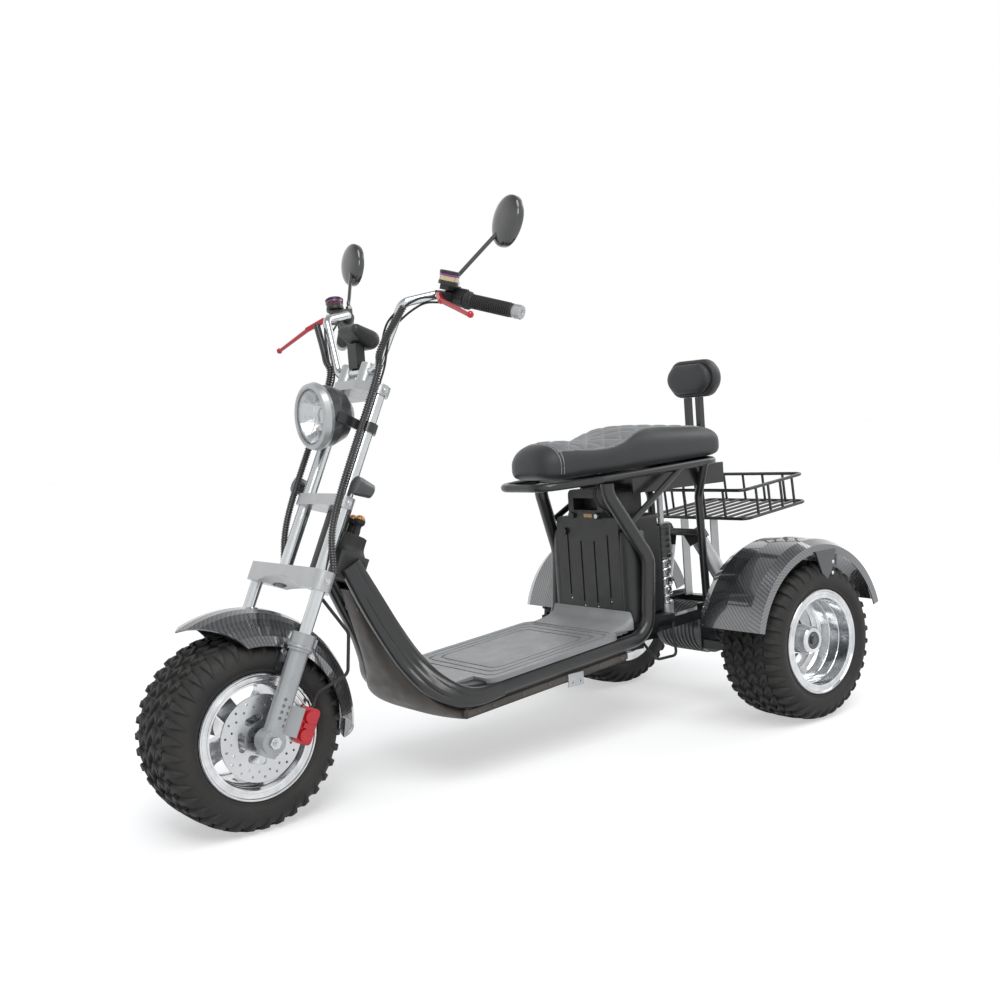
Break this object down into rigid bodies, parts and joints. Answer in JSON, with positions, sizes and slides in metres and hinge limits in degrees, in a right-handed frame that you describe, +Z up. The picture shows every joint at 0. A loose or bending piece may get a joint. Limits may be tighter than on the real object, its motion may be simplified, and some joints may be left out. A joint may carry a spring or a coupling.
{
  "type": "three-wheeled electric scooter",
  "caption": "Step-through electric scooter with fat lugged tyres, raked fork, woven-look fenders, long saddle, backrest and rear wire basket.",
  "frame": {"origin": "on the floor, below the middle of the overall box", "axes": "+X forward, +Y to the rider's left, +Z up"},
  "size_m": [2.0379, 0.977, 1.3995],
  "materials": {
    "frame_black": "satin",
    "silver_paint": "satin",
    "leg_grey": "satin",
    "chrome": "polished",
    "polished_rim": "polished",
    "steel": "satin",
    "galvanised": "matte",
    "tyre_rubber": "matte",
    "rubber": "matte",
    "fender_weave": "gloss",
    "panel_brown": "matte",
    "dark_plastic": "matte",
    "board_grey": "matte",
    "saddle_cover": "satin",
    "red_anodised": "gloss",
    "lamp_grey": "satin",
    "lens_clear": "gloss",
    "amber": "gloss",
    "fluid_clear": "gloss",
    "mirror": "polished"
  },
  "bodies": {
    "chassis": {"main_frame": "frame_black", "belly_pan": "panel_brown", "neck_cover": "dark_plastic", "footboard": "board_grey", "battery_bay": "dark_plastic", "battery_pack": "dark_plastic", "battery_lead": "rubber", "seat_frame": "frame_black", "saddle": "saddle_cover", "backrest_posts": "frame_black", "backrest_pad": "saddle_cover", "basket": "frame_black", "basket_stays": "silver_paint", "rear_carriage": "frame_black", "drive_unit": "lamp_grey", "wishbones": "frame_black", "wheel_carriers": "frame_black", "shock_bodies": "silver_paint", "shock_springs": "frame_black", "rear_fender_left": "fender_weave", "rear_fender_right": "fender_weave", "side_bracket": "galvanised", "marker_lamps": "amber", "rear_brake_hose": "rubber"},
    "steering": {"lower_bridge": "silver_paint", "steering_stem": "steel", "mid_clamp": "silver_paint", "top_clamp": "silver_paint", "fork_tubes": "chrome", "fork_stanchions": "chrome", "fork_leg_left": "leg_grey", "fork_leg_right": "leg_grey", "front_axle": "steel", "front_fender": "fender_weave", "brake_caliper": "red_anodised", "front_brake_hose": "rubber", "headlight_bucket": "lamp_grey", "headlight_ring": "silver_paint", "headlight_lens": "lens_clear", "headlight_bracket": "frame_black", "turn_signals": "lamp_grey", "handlebar": "chrome", "grips": "rubber", "brake_masters": "dark_plastic", "reservoirs": "fluid_clear", "brake_levers": "red_anodised", "switch_pods": "dark_plastic", "mirrors": "dark_plastic", "mirror_glass": "mirror", "dash_pod": "dark_plastic", "wiring_looms": "rubber"},
    "front_wheel": {"front_tyre": "tyre_rubber", "front_rim": "polished_rim", "brake_disc": "steel"},
    "rear_wheel_left": {"rear_tyre_left": "tyre_rubber", "rear_rim_left": "polished_rim", "half_shaft_left": "steel"},
    "rear_wheel_right": {"rear_tyre_right": "tyre_rubber", "rear_rim_right": "polished_rim", "half_shaft_right": "steel"}
  },
  "joints": [
    {"name": "steering_turn", "type": "hinge", "parent": "chassis", "child": "steering", "pos_m": [0.7333, 0, 0.18571], "axis": [-0.4305, 0, 0.9026], "range_deg": [-35, 35]},
    {"name": "front_wheel_spin", "type": "hinge", "parent": "steering", "child": "front_wheel", "pos_m": [0.80099, 0, 0.218], "axis": [0, 1, 0], "continuous": true},
    {"name": "rear_wheel_left_spin", "type": "hinge", "parent": "chassis", "child": "rear_wheel_left", "pos_m": [-0.69901, 0.386, 0.218], "axis": [0, 1, 0], "continuous": true},
    {"name": "rear_wheel_right_spin", "type": "hinge", "parent": "chassis", "child": "rear_wheel_right", "pos_m": [-0.69901, -0.386, 0.218], "axis": [0, 1, 0], "continuous": true}
  ]
}
